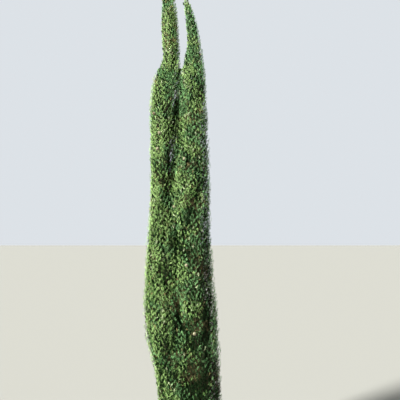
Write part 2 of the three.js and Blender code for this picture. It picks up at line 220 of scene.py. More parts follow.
leader_points, leader_radii = limb_rings(
    LEADER_LINE, LEADER_FOOT_RADIUS, LEADER_TIP_RADIUS, LEADER_TAPER, LEADER_RINGS)
leader = bark_limb("right_leader_bark", leader_points, leader_radii, LEADER_SIDES)
leader.data.materials.append(BARK)
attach(leader, "root")
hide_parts("right_leader")


# Plumes. Each leader carries steep limbs all round it by the golden angle, and each limb swings out and
# then runs upright as the stem of one flame of foliage. The crown's own outline is given in rows of height,
# x, y, half width and half depth.
LEFT_CROWN = MM * np.array([
    [60, -22, 0, 46, 50], [160, -36, 4, 80, 96], [400, -70, 8, 100, 124],
    [714, -102, 12, 106, 132], [1030, -155, 16, 125, 134], [1550, -163, 10, 101, 120],
    [1816, -166, 12, 83, 110], [2083, -168, 14, 82, 102], [2390, -158, 12, 96, 94],
    [2630, -141, 10, 91, 80], [2790, -109, 8, 60, 56], [2900, -118, 6, 61, 58],
    [3190, -128, 4, 46, 44], [3400, -150, 0, 8, 8],
])
RIGHT_CROWN = MM * np.array([
    [60, 22, 0, 46, 50], [160, 58, -4, 88, 98], [300, 78, -8, 120, 124],
    [526, 82, -12, 138, 140], [904, 56, -16, 149, 146], [1160, 43, -14, 147, 142],
    [1550, 22, -14, 136, 132], [1816, 24, -16, 131, 122], [2083, 28, -12, 117, 110],
    [2390, 38, -8, 98, 94], [2629, 36, -6, 86, 78], [2768, 41, -4, 67, 56],
    [2907, 42, -6, 46, 44], [3100, 12, -8, 32, 30], [3230, -26, -12, 6, 6],
])
PLUMES = 22
BOUGHS = 6
SKIRT_PLUMES = 4
LOWEST_ROOT = 95 * MM
SKIRT_STEP = 14 * MM
ROOT_SPREAD = 0.94
PLUME_LENGTH_LOW = 860 * MM
PLUME_LENGTH_HIGH = 450 * MM
PLUME_REACH = 0.6
REACH_SWAY = 0.08
BEARING_SWAY = 0.25
SWING_FROM = -0.12
SWING_TO = 0.26
BOUGH_SHARE = 0.14
BOUGH_RADIUS = 8 * MM
BOUGH_SIDES = 20
BOUGH_RINGS = 24
STEM_RADIUS = 4.5 * MM
STEM_END_RADIUS = 1.5 * MM
PLUME_STEPS = 14
CORE_START_LOW = 0.08
CORE_START_HIGH = 0.17
CORE_START_HEIGHTS = (100 * MM, 600 * MM)
CORE_SHARE = 0.5
FLAME_HEIGHT = 2.3
FLAME_RISE = 0.7
FLAME_FALL = 0.62
TIP_FLAME_FROM = 0.1
TIP_FLAME_SPAN = 0.85
GOLDEN_ANGLE = math.pi * (3 - math.sqrt(5))

Spire = namedtuple("Spire", "name crown line highest_root first_bearing")
Plume = namedtuple("Plume", "name spire points radii")
SPIRES = [
    Spire("left", LEFT_CROWN, TRUNK_LINE, 2860 * MM, 2.6),
    Spire("right", RIGHT_CROWN, LEADER_LINE, 2760 * MM, 0.4),
]


def mix(low, high, share):
    return low + (high - low) * share


def ease(value, low=0.0, high=1.0):
    """0 below low, 1 above high, and a smooth rise between."""
    t = np.clip((value - low) / (high - low), 0, 1)
    return t * t * t * (t * (6 * t - 15) + 10)


def crown_place(crown, z, angle, fill):
    """Places at the given heights and angles, from the crown's middle line at fill 0 to its outline at 1."""
    x = along(crown, z, 1) + fill * along(crown, z, 3) * np.cos(angle)
    y = along(crown, z, 2) + fill * along(crown, z, 4) * np.sin(angle)
    return np.stack(np.broadcast_arrays(x, y, z), axis=-1)


def crown_share(crown, points):
    """0 on the crown's middle line and 1 on its outline."""
    across = (points[..., 0] - along(crown, points[..., 2], 1)) / along(crown, points[..., 2], 3)
    deep = (points[..., 1] - along(crown, points[..., 2], 2)) / along(crown, points[..., 2], 4)
    return np.hypot(across, deep)


def flame(t):
    """The half width of a flame, from its foot at 0 to its tip at 1."""
    t = np.clip(t, 0, 1)
    return FLAME_HEIGHT * t ** FLAME_RISE * (1 - t) ** FLAME_FALL


def make_plume(spire, index):
    """One plume, numbered from the foot up, which swings out from its leader and then runs upright."""
    rise = max(index - SKIRT_PLUMES + 1, 0) / (PLUMES - SKIRT_PLUMES)
    skirt = LOWEST_ROOT + SKIRT_STEP * min(index, SKIRT_PLUMES - 1)
    root = mix(skirt, spire.highest_root, rise ** ROOT_SPREAD)
    low, high = CORE_START_HEIGHTS
    core_start = mix(CORE_START_LOW, CORE_START_HIGH, min(max((root - low) / (high - low), 0), 1))
    s = np.linspace(0, 1, PLUME_STEPS + 1)
    z = root + mix(PLUME_LENGTH_LOW, PLUME_LENGTH_HIGH, rise) * s
    angle = spire.first_bearing + index * GOLDEN_ANGLE + BEARING_SWAY * np.sin(index + 2 * s)
    fill = PLUME_REACH + REACH_SWAY * s * math.cos(index * GOLDEN_ANGLE)
    swing = ease(s, SWING_FROM, SWING_TO)[:, None]
    swing[0] = 0
    points = mix(line_at(spire.line, z), crown_place(spire.crown, z, angle, fill), swing)
    core = CORE_SHARE * along(spire.crown, z, 3) * flame((s - core_start) / (1 - core_start))
    radii = np.maximum(mix(STEM_RADIUS, STEM_END_RADIUS, s), core)
    return Plume(f"{spire.name}_plume_{index + 1:02d}", spire, points, radii)


def make_tip(spire):
    """The plume at the top of a spire, which carries its leader on."""
    low, high = spire.line[-1, 0], spire.crown[-1, 0]
    s = np.linspace(0, 1, PLUME_STEPS + 1)
    z = mix(low, high, s)
    points = mix(line_at(spire.line, np.full_like(z, low)), crown_place(spire.crown, z, 0, 0), s[:, None])
    points[:, 2] = z
    core = CORE_SHARE * along(spire.crown, z, 3) * flame(TIP_FLAME_FROM + TIP_FLAME_SPAN * s)
    radii = np.maximum(STEM_END_RADIUS, core)
    return Plume(f"{spire.name}_tip_plume", spire, points, radii)


def at_share(points, s):
    """The place at each share s of a line of evenly numbered points."""
    steps = len(points) - 1
    i = np.clip((s * steps).astype(int), 0, steps - 1)
    return mix(points[i], points[i + 1], (s * steps - i)[..., None])


plumes = []
for spire in SPIRES:
    plumes += [make_plume(spire, index) for index in range(PLUMES)] + [make_tip(spire)]

bough_names = []
boughs = []
for spire in SPIRES:
    for index in range(SKIRT_PLUMES + 1, SKIRT_PLUMES + 2 * BOUGHS, 2):
        plume = next(p for p in plumes if p.name == f"{spire.name}_plume_{index + 1:02d}")
        s = np.linspace(0, BOUGH_SHARE, BOUGH_RINGS)
        radii = mix(BOUGH_RADIUS, STEM_RADIUS, s / BOUGH_SHARE)
        bough_names.append(f"{spire.name}_bough_{index + 1:02d}")
        boughs.append(bark_limb(bough_names[-1] + "_bark", at_share(plume.points, s), radii, BOUGH_SIDES))


def joined(name, pieces):
    """One object that holds all the pieces' faces."""
    with bpy.context.temp_override(active_object=pieces[0], selected_editable_objects=pieces):
        bpy.ops.object.join()
    pieces[0].name = name
    return pieces[0]


bough_bark = joined("boughs_bark", boughs)
bough_bark.data.materials.append(BARK)
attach(bough_bark, "root")
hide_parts(*bough_names)


# Twigs. A plume's stem sends out a thin woody twig for each tuft of foliage. It leaves the stem aslant,
# bends upright, and stops one spray short of the crown's outline. The tufts' tips cover that outline evenly,
# and they stand back where one plume meets the next, so a dark seam runs between them.
TUFT_AREA = 690 * MM * MM
TUFT_AREA_TOP_SHARE = 0.7
TUFT_TOP_HEIGHTS = (2.4, 2.8)
TUFT_FOOT = 70 * MM
TUFT_RISE = 150 * MM
TUFT_RISE_SPREAD = 70 * MM
TUFT_FILL_SEAM = 0.86
TUFT_FILL_CREST = 1.0
TUFT_FILL_SPREAD = 0.12
OTHER_LEAST_SHARE = 0.72
FACING_SHARE = 1.35
FACING_FILL = 1.2
FACING_SHADE = 0.35
SEAM_REACH = 38 * MM
OUTLINE_FILL = 0.95
FRONT_LIMIT = 0.3
TUFT_LEAN = 0.21
TUFT_LEAN_SPREAD = 0.4
TUFT_SWAY = 0.5
TWIG_CLIMB = 0.5
TWIG_LEAST_CLIMB = 8 * MM
BEND_LIMIT = 0.88
STEM_FIRST = 0.02
STEM_LAST = 0.94
SPRAY_LENGTH = 24 * MM
TWIG_POINTS = 4
TWIG_RADIUS = 1.5 * MM
TWIG_END_RADIUS = 0.7 * MM
TWIG_SIDES = 3
STEM_SIDES = 6
HOLLOW_RECESS = 0.16
# Bright ridges and dark hollows of the front, painted highlights and painted shade in the sprays' greens,
# as [x, height, half width, half height, lightness]
LIT_RIDGES_AND_SHADED_HOLLOWS = [
    [-0.215, 2.20, 0.045, 0.42, 0.3],
    [-0.225, 1.60, 0.045, 0.25, 0.3],
    [-0.14, 2.95, 0.02, 0.3, 0.2],
    [-0.175, 2.6, 0.045, 0.13, 0.35],
    [-0.2, 0.87, 0.05, 0.06, 0.3],
    [0.155, 0.87, 0.03, 0.09, 0.35],
    [-0.097, 2.83, 0.025, 0.04, -0.3],
    [-0.085, 2.36, 0.03, 0.13, 0.3],
    [-0.12, 2.09, 0.03, 0.06, -0.35],
    [-0.093, 1.66, 0.025, 0.16, -0.2],
    [-0.085, 1.11, 0.022, 0.08, -0.5],
    [0.09, 2.59, 0.02, 0.05, -0.3],
    [0.095, 2.25, 0.03, 0.18, -0.12],
    [0.118, 1.3, 0.02, 0.42, -0.7],
    [0.18, 1.15, 0.03, 0.3, 0.5],
    [0.04, 1.05, 0.07, 0.3, -0.2],
    [0.07, 0.55, 0.12, 0.2, -0.2],
    [0.075, 0.68, 0.05, 0.07, -0.5],
]
TWIG_BROWN = (0.048, 0.042, 0.024, 1)
TWIG_TAN = (0.1, 0.088, 0.05, 1)
TWIG_DARK = (0.02, 0.017, 0.01, 1)
TWIG_GRAIN = 420
UP = np.array([0.0, 0.0, 1.0])
draw = np.random.default_rng(41)


def clearances(points):
    """For each point, its distance to each plume's stem, less the plume's own thickness there."""
    found = np.empty((len(points), len(plumes)))
    for number, plume in enumerate(plumes):
        start, step = plume.points[:-1], np.diff(plume.points, axis=0)
        away = points[:, None] - start
        t = np.clip((away * step).sum(-1) / (step ** 2).sum(-1), 0, 1)
        distance = np.linalg.norm(away - t[..., None] * step, axis=-1)
        found[:, number] = (distance - mix(plume.radii[:-1], plume.radii[1:], t)).min(1)
    return found


def unit(vectors):
    return vectors / np.linalg.norm(vectors, axis=-1, keepdims=True)


def level_towards(angle):
    """Level directions at the given angles."""
    return np.stack([np.cos(angle), np.sin(angle), np.zeros_like(angle)], axis=-1)


def ridge_light_and_hollow_shade(points, outwards):
    """How much painted light a place gets on a ridge, or painted shade in a hollow, on the front of the
    crown.
    """
    total = np.zeros(len(points))
    for x, height, half_width, half_height, change in LIT_RIDGES_AND_SHADED_HOLLOWS:
        away = np.hypot((points[:, 0] - x) / half_width, (points[:, 2] - height) / half_height)
        total += change * np.exp(-away ** 2)
    return np.where(outwards[:, 1] < FRONT_LIMIT, total, 0)


def tufts_of(spire, other):
    """The tufts that cover one spire's outline: their tips, outward directions, owners, and how much each
    one stands on a crest and faces the other spire."""
    heights = [spire.crown[0, 0] + TUFT_FOOT]
    while heights[-1] < spire.crown[-1, 0]:
        girth = math.pi * (along(spire.crown, heights[-1], 3) + along(spire.crown, heights[-1], 4))
        area = TUFT_AREA * mix(1, TUFT_AREA_TOP_SHARE, ease(heights[-1], *TUFT_TOP_HEIGHTS))
        heights.append(heights[-1] + area / girth)
    heights = np.array(heights[:-1])
    angles = spire.first_bearing + np.arange(len(heights)) * GOLDEN_ANGLE
    outline = crown_place(spire.crown, heights, angles, OUTLINE_FILL)
    near = np.sort(clearances(outline), axis=1)
    crest = ease((near[:, 1] - near[:, 0]) / SEAM_REACH)
    fill = mix(TUFT_FILL_SEAM, TUFT_FILL_CREST, crest)
    fill += TUFT_FILL_SPREAD * draw.uniform(-0.5, 0.5, len(heights))
    fill += HOLLOW_RECESS * np.minimum(ridge_light_and_hollow_shade(outline, level_towards(angles)), 0)
    # Where the two spires face each other they press together instead
    facing = 1 - ease(crown_share(other.crown, outline), 1, FACING_SHARE)
    fill = mix(fill, FACING_FILL, facing)
    tips = crown_place(spire.crown, heights, angles, fill)
    free = crown_share(other.crown, tips) > OTHER_LEAST_SHARE
    owners = clearances(tips).argmin(1)
    # Facing tufts count as less of a crest, so their sprays take darker greens: painted shade where the
    # spires meet
    crest = crest * (1 - FACING_SHADE * facing)
    return tips[free], level_towards(angles[free]), owners[free], crest[free], facing[free]


left_tufts = tufts_of(SPIRES[0], SPIRES[1])
right_tufts = tufts_of(SPIRES[1], SPIRES[0])
tip, outward, owner, crest, facing = (np.concatenate(pair) for pair in zip(left_tufts, right_tufts))
spire_of = np.repeat([0, 1], [len(left_tufts[0]), len(right_tufts[0])])
tuft_count = len(tip)
lean = TUFT_LEAN + TUFT_LEAN_SPREAD * draw.uniform(-0.5, 0.5, tuft_count)[:, None]
sway = TUFT_SWAY * draw.uniform(-1, 1, tuft_count)[:, None]
aside = np.cross(UP, outward)
aim = unit(UP + np.tan(lean) * outward + sway * aside)
twig_end = tip - aim * SPRAY_LENGTH

plume_low = np.array([p.points[0, 2] for p in plumes])
plume_high = np.array([p.points[-1, 2] for p in plumes])
rise = TUFT_RISE + TUFT_RISE_SPREAD * draw.uniform(-0.5, 0.5, tuft_count)
wanted = (tip[:, 2] - rise - plume_low[owner]) / (plume_high[owner] - plume_low[owner])
stem_share = np.clip(wanted, STEM_FIRST, STEM_LAST)
twig_root = np.array([at_share(plumes[o].points, np.array(s)) for o, s in zip(owner, stem_share)])
# A twig that leaves its stem lower down turns up early, and one that leaves level with its end turns up late
reach = np.linalg.norm(twig_end - twig_root, axis=1)
climb = np.clip(TWIG_CLIMB * (twig_end - twig_root)[:, 2], TWIG_LEAST_CLIMB, reach / 2)
twig_bend = twig_end - aim * climb[:, None]


def held_inside(points, crown):
    """The points, drawn in towards the crown's middle line where they stand too far out."""
    pull = np.minimum(1, BEND_LIMIT / crown_share(crown, points))
    return mix(crown_place(crown, points[:, 2], 0, 0), points, pull[:, None])


twig_bend = np.where(spire_of[:, None] == 0, held_inside(twig_bend, LEFT_CROWN),
                     held_inside(twig_bend, RIGHT_CROWN))


def on_twig(t, which=slice(None)):
    """Places on the twigs, from 0 at the stem to 1 at the last spray."""
    t = np.asarray(t)[..., None]
    return (1 - t) ** 2 * twig_root[which] + 2 * t * (1 - t) * twig_bend[which] + t ** 2 * twig_end[which]


def twig_heading(t, which=slice(None)):
    """The directions in which the twigs run at the same places."""
    t = np.asarray(t)[..., None]
    first, last = twig_bend[which] - twig_root[which], twig_end[which] - twig_bend[which]
    return unit((1 - t) * first + t * last)


def new_group(name, kind, inputs, outputs):
    """An empty node group with its named inputs and outputs."""
    group = bpy.data.node_groups.new(name, kind)
    for label, socket in inputs.items():
        group.interface.new_socket(label, in_out="INPUT", socket_type="NodeSocket" + socket)
    for label, socket in outputs.items():
        group.interface.new_socket(label, in_out="OUTPUT", socket_type="NodeSocket" + socket)
    return group


def branch_tree():
    """Turns lines of points into round twigs, as thick as each point's own thickness."""
    inputs = {"Lines": "Geometry", "Sides": "Int", "Bark": "Material"}
    tree = new_group("round_twigs", "GeometryNodeTree", inputs, {"Twigs": "Geometry"})
    given = tree.nodes.new("NodeGroupInput")
    result = tree.nodes.new("NodeGroupOutput")
    curves = tree.nodes.new("GeometryNodeMeshToCurve")
    profile = tree.nodes.new("GeometryNodeCurvePrimitiveCircle")
    profile.inputs["Radius"].default_value = 1
    thickness = tree.nodes.new("GeometryNodeInputNamedAttribute")
    thickness.data_type = "FLOAT"
    thickness.inputs["Name"].default_value = "thickness"
    skin = tree.nodes.new("GeometryNodeCurveToMesh")
    skin.inputs["Fill Caps"].default_value = True
    realized = tree.nodes.new("GeometryNodeRealizeInstances")
    finish = tree.nodes.new("GeometryNodeSetMaterial")
    tree.links.new(given.outputs["Lines"], curves.inputs["Mesh"])
    tree.links.new(given.outputs["Sides"], profile.inputs["Resolution"])
    tree.links.new(curves.outputs["Curve"], skin.inputs["Curve"])
    tree.links.new(profile.outputs["Curve"], skin.inputs["Profile Curve"])
    tree.links.new(thickness.outputs[0], skin.inputs["Scale"])
    tree.links.new(skin.outputs["Mesh"], realized.inputs["Geometry"])
    tree.links.new(realized.outputs["Geometry"], finish.inputs["Geometry"])
    tree.links.new(given.outputs["Bark"], finish.inputs["Material"])
    tree.links.new(finish.outputs["Geometry"], result.inputs["Twigs"])
    return tree


def grown(name, mesh, tree, **values):
    """A plain mesh object of what the tree grows on the given mesh."""
    carrier = bpy.data.objects.new(name + "_carrier", mesh)
    bpy.context.scene.collection.objects.link(carrier)
    modifier = carrier.modifiers.new("grow", "NODES")
    modifier.node_group = tree
    for item in tree.interface.items_tree:
        label = item.name.lower().replace(" ", "_")
        if item.in_out == "INPUT" and label in values:
            modifier[item.identifier] = values[label]
    evaluated = carrier.evaluated_get(bpy.context.evaluated_depsgraph_get())
    plain = bpy.data.meshes.new_from_object(evaluated)
    plain.name = name
    carrier.modifiers.remove(modifier)
    bpy.data.objects.remove(carrier)
    piece = bpy.data.objects.new(name, plain)
    bpy.context.scene.collection.objects.link(piece)
    return piece


def lines_mesh(name, places, thickness):
    """Lines through rows of places, each place with a thickness."""
    rows, steps = places.shape[:2]
    mesh = bpy.data.meshes.new(name)
    first = np.arange(rows)[:, None] * steps + np.arange(steps - 1)
    edges = np.stack([first, first + 1], axis=-1).reshape(-1, 2)
    mesh.from_pydata(places.reshape(-1, 3), edges, [])
    attribute = mesh.attributes.new("thickness", "FLOAT", "POINT")
    attribute.data.foreach_set("value", thickness.ravel().astype(np.float32))
    return mesh


ROUND_TWIGS = branch_tree()
TWIG_BARK = bark_material("twig_bark", TWIG_BROWN, TWIG_TAN, TWIG_DARK, TWIG_GRAIN)
shares = np.linspace(0, 1, TWIG_POINTS)
twig_places = np.stack([on_twig(np.full(tuft_count, t)) for t in shares], axis=1)
twig_thickness = np.tile(mix(TWIG_RADIUS, TWIG_END_RADIUS, shares), (tuft_count, 1))
stem_taper = mix(STEM_RADIUS, STEM_END_RADIUS, np.linspace(0, 1, PLUME_STEPS + 1))
for number, spire in enumerate(SPIRES):
    own = [p for p in plumes if p.spire is spire]
    stem_places = np.stack([p.points for p in own])
    stem_lines = lines_mesh("stem_lines", stem_places, np.tile(stem_taper, (len(own), 1)))
    stems = grown(spire.name + "_stems", stem_lines, ROUND_TWIGS, sides=STEM_SIDES, bark=TWIG_BARK)
    mine = spire_of == number
    twig_lines = lines_mesh("twig_lines", twig_places[mine], twig_thickness[mine])
    twigs = grown(spire.name + "_twigs", twig_lines, ROUND_TWIGS, sides=TWIG_SIDES, bark=TWIG_BARK)
    for piece in (stems, twigs):
        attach(piece, "root")
        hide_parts(*[p.name for p in own])


# Sprays. A spray is a thin cord with short shoots round it, all clad in green scale leaves. Each twig ends
# in one and carries more along its upper half, and old ones fill the crown behind, dark partly with age and
# partly as painted shade. They are yellowish at the tips, and broad, dark or dry in the shade. Their greens
# also hold painted light and shade: lighter and yellowish on the sunny left, darker and bluish on the right,
# partly as real sun and shade foliage and partly as painted sunlight and sky-lit shade.
SPRAY_KINDS = 6
SHOOTS = 5
SHOOT_WIDTH = 2.5 * MM
SHOOT_BELLY = 0.48
SHOOT_LONGEST = 0.62
SHOOT_SHORTEST = 0.42
SHOOT_LEAN_LOW = 0.75
SHOOT_LEAN_HIGH = 0.35
SHOOT_TURN = 1.0
SHOOT_KEEL = 0.35
SHOOT_FIRST = 0.08
SHOOT_SPAN = 0.68
SHOOT_AROUND_SPREAD = 0.4
SHOOT_LEAN_SPREAD = 0.12
SHOOT_LENGTHS = (0.85, 1.2)
CORD_FOOT = -0.04
CORD_END = 0.8
CORD_WIDTH = 0.6
LEADING_SHOOT_START = 0.66
SPRAY_DEPTH = 0.6
SPRAY_TURN = 1.2
SPRAY_BULGE = 0.07
SIDE_SPRAYS = 6
SIDE_FIRST = 0.46
SIDE_LAST = 0.96
SIDE_SCATTER = 0.8
SIDE_LEAN = 1.0
SIDE_LEAN_RANGE = (0.7, 1.15)
SIDE_TURN = 2.4
SIDE_NUDGE = 0.01
SIDE_LIFT = 0.16
SIDE_SIZES = (0.75, 1.05)
END_SIZES = (0.95, 1.12)
CELL_SLACK = 14 * MM
FACING_SLACK = 30 * MM
OUTLINE_LIMIT = 1.01
OLD_SPRAY_SPACE = 1.6e4 * MM ** 3
OLD_FILL_LEAST = 0.15
OLD_FILL_MOST = 1.04
OLD_DEPTH = 0.91
OLD_NEAR_OTHER = 1.2
OLD_SHOOTS = 4
OLD_NEAREST = 0.6
SHADED_SHOOT_WIDTH = 4.4 * MM
OLD_SHOOT_WIDTH = 4.6 * MM
OLD_SHOOT_LEAN = 0.45
OLD_RISE = 85 * MM
OLD_TOP = 70 * MM
GOLDEN_SHARE = 0.6180339887
LEAF_GRAIN = 480
SPRAY_SEED = 7
# How light a spray is by itself, and how much its place in the crown adds to that. Most of this paints
# light and shade into its green, in part over real differences of growth
# End sprays are lightest and side sprays darker lower down the twig, partly as fresher growth at the tips
# and partly as painted shade inside each tuft
END_LIGHT = 1.0
SIDE_LIGHT = 0.75
# Old sprays inside are darkest, partly with age and partly as painted shade
OLD_SHADE_LIGHT = -1.0
# Sprays deeper in the crown are darker, partly as older foliage and partly as painted shade
LIGHT_OUTWARDS = 1.6
DEPTHS = (0.5, 1.05)
EVEN_DEPTH = 0.85
# Sprays on crests are lighter and those in the seams between plumes darker: painted light and painted shade
LIGHT_ON_CREST = 0.5
EVEN_CREST = 0.75
PATCH_SIZE = 110 * MM
PATCH_GAIN = 2.2
PATCH_LIGHT = 0.25
STREAK_SIZE = MM * np.array([24, 24, 260])
STREAK_LIGHT = 0.42
# Sprays are lighter higher up and darker low down, partly as older foliage below and partly as painted shade
LIGHT_UPWARDS = 0.33
EVEN_HEIGHT = 1.68
# Sprays that face left are lighter and those that face right darker, partly as real sun and shade foliage
# and partly as painted sunlight and painted shade
LIGHT_LEFTWARDS = 0.24
TOP_LIGHT = 0.4
TOP_HEIGHTS = (2.4, 2.9)
LIGHT_SPREAD = 0.22
# Below this lightness sprays take the near-black green of painted shade
DEEP_SHADE_BELOW = 0.36
MID_BELOW = 0.82
# How warm its green is, and how often it is dry, pale or tan
# Greens are warmer on the left and bluer on the right, partly as real sun and shade foliage and partly as
# painted sunlight and sky-lit shade
WARM_LEFT_OF = -0.02
WARM_WIDTH = 0.27
WARM_PATCHES = 0.8
WARM_SPREAD = 0.25
DRY_BELOW = 0.5
DRY_WORN_FROM = 0.3
# Pale sprays on light places are partly paler new tips and partly painted highlights
PALE_ABOVE = 0.85
PALE_SHARE = 0.07
TAN_ABOVE = 0.5
TAN_SHARE = 0.015
TAN_WORN_SHARE = 0.08
TAN_LEFT_SHARE = 0.08
TAN_LEFT_HEIGHTS = (2.6, 2.9)
# Where in the noise each kind of patch is read
LIGHT_SHIFT = 32
STREAK_SHIFT = 75
WARM_SHIFT = 156
WORN_SHIFT = 166

TINTS = {
    "fresh_warm": (0.335, 0.52, 0.19, 1),
    "fresh_cool": (0.19, 0.39, 0.16, 1),
    "mid_warm": (0.15, 0.285, 0.085, 1),
    "mid_cool": (0.088, 0.21, 0.08, 1),
    # Near-black green, painted shade for the darkest sprays deep in the crown and in seams and hollows
    "deep": (0.008, 0.026, 0.006, 1),
    "dry": (0.085, 0.075, 0.035, 1),
    # Paler new tips, partly painted highlights
    "pale": (0.5, 0.6, 0.36, 1),
    "tan": (0.3, 0.27, 0.12, 1),
}


def keeled_shoot(bm, root, tip, width, front):
    """A shoot of four faces: two long ones in front and a keel behind."""
    heading = (tip - root).normalized()
    side = heading.cross(front).normalized()
    keel = heading.cross(side)
    belly = root.lerp(tip, SHOOT_BELLY) + keel * width * SHOOT_KEEL
    corners = [bm.verts.new(c) for c in (root, tip, belly + side * width / 2, belly - side * width / 2)]
    for a, b, c in ((0, 1, 2), (0, 3, 1), (0, 2, 3), (1, 3, 2)):
        bm.faces.new((corners[a], corners[b], corners[c]))


def spray_kind(number, shoots, width, lean=1.0):
    """One spray at its real size, with its root at the origin and its tip straight above."""
    pick = np.random.default_rng(number)
    bm = bmesh.new()

    def on_cord(t):
        return Vector((SPRAY_BULGE * math.sin(math.pi * t), 0, t)) * SPRAY_LENGTH

    def front():
        return Vector((1, pick.uniform(-SHOOT_TURN, SHOOT_TURN), 0))

    keeled_shoot(bm, on_cord(CORD_FOOT), on_cord(CORD_END), width * CORD_WIDTH, front())
    keeled_shoot(bm, on_cord(LEADING_SHOOT_START), on_cord(1.0), width, front())
    for i in range(shoots):
        t = i / (shoots - 1)
        root = on_cord(SHOOT_FIRST + SHOOT_SPAN * t)
        around = i * GOLDEN_ANGLE + pick.uniform(-SHOOT_AROUND_SPREAD, SHOOT_AROUND_SPREAD)
        bent = pick.uniform(-SHOOT_LEAN_SPREAD, SHOOT_LEAN_SPREAD)
        slant = lean * (mix(SHOOT_LEAN_LOW, SHOOT_LEAN_HIGH, t) + bent)
        length = SPRAY_LENGTH * mix(SHOOT_LONGEST, SHOOT_SHORTEST, t) * pick.uniform(*SHOOT_LENGTHS)
        out = Vector((SPRAY_DEPTH * math.cos(around), math.sin(around), 0)).normalized()
        heading = out * math.sin(slant) + Vector((0, 0, math.cos(slant)))
        keeled_shoot(bm, root, root + heading * length, width, front())
    bmesh.ops.recalc_face_normals(bm, faces=bm.faces)
    mesh = bpy.data.meshes.new(f"spray_kind_{number}")
    bm.to_mesh(mesh)
    bm.free()
    return bpy.data.objects.new(mesh.name, mesh)


def spray_kinds(name, first, shoots, width, lean=1.0):
    """A collection of several sprays of one age, each one a little different."""
    collection = bpy.data.collections.new(name)
    for number in range(SPRAY_KINDS):
        collection.objects.link(spray_kind(first + number, shoots, width, lean))
    return collection


def spray_tree():
    """Sets a spray on each point, along its aim and turned to its front."""
    inputs = {"Places": "Geometry", "Spray Kinds": "Collection", "Seed": "Int", "Green": "Material"}
    tree = new_group("sprays_on_twigs", "GeometryNodeTree", inputs, {"Sprays": "Geometry"})
    given = tree.nodes.new("NodeGroupInput")
    result = tree.nodes.new("NodeGroupOutput")
    kinds = tree.nodes.new("GeometryNodeCollectionInfo")
    kinds.inputs["Separate Children"].default_value = True
    kinds.inputs["Reset Children"].default_value = True

    def attribute(name, data_type):
        node = tree.nodes.new("GeometryNodeInputNamedAttribute")
        node.data_type = data_type
        node.inputs["Name"].default_value = name
        return node.outputs[0]

    stand = tree.nodes.new("FunctionNodeAlignRotationToVector")
    stand.axis = "Z"
    face = tree.nodes.new("FunctionNodeAlignRotationToVector")
    face.axis = "X"
    face.pivot_axis = "Z"
    choice = tree.nodes.new("FunctionNodeRandomValue")
    choice.data_type = "INT"
    choice.inputs[4].default_value = 0
    choice.inputs[5].default_value = SPRAY_KINDS - 1
    instances = tree.nodes.new("GeometryNodeInstanceOnPoints")
    instances.inputs["Pick Instance"].default_value = True
    realized = tree.nodes.new("GeometryNodeRealizeInstances")
    finish = tree.nodes.new("GeometryNodeSetMaterial")
    tree.links.new(attribute("aim", "FLOAT_VECTOR"), stand.inputs["Vector"])
    tree.links.new(stand.outputs["Rotation"], face.inputs["Rotation"])
    tree.links.new(attribute("front", "FLOAT_VECTOR"), face.inputs["Vector"])
    tree.links.new(given.outputs["Places"], instances.inputs["Points"])
    tree.links.new(given.outputs["Spray Kinds"], kinds.inputs["Collection"])
    tree.links.new(kinds.outputs["Instances"], instances.inputs["Instance"])
    tree.links.new(given.outputs["Seed"], choice.inputs["Seed"])
    tree.links.new(choice.outputs[2], instances.inputs["Instance Index"])
    tree.links.new(face.outputs["Rotation"], instances.inputs["Rotation"])
    tree.links.new(attribute("size", "FLOAT"), instances.inputs["Scale"])
    tree.links.new(instances.outputs["Instances"], realized.inputs["Geometry"])
    tree.links.new(realized.outputs["Geometry"], finish.inputs["Geometry"])
    tree.links.new(given.outputs["Green"], finish.inputs["Material"])
    tree.links.new(finish.outputs["Geometry"], result.inputs["Sprays"])
    return tree


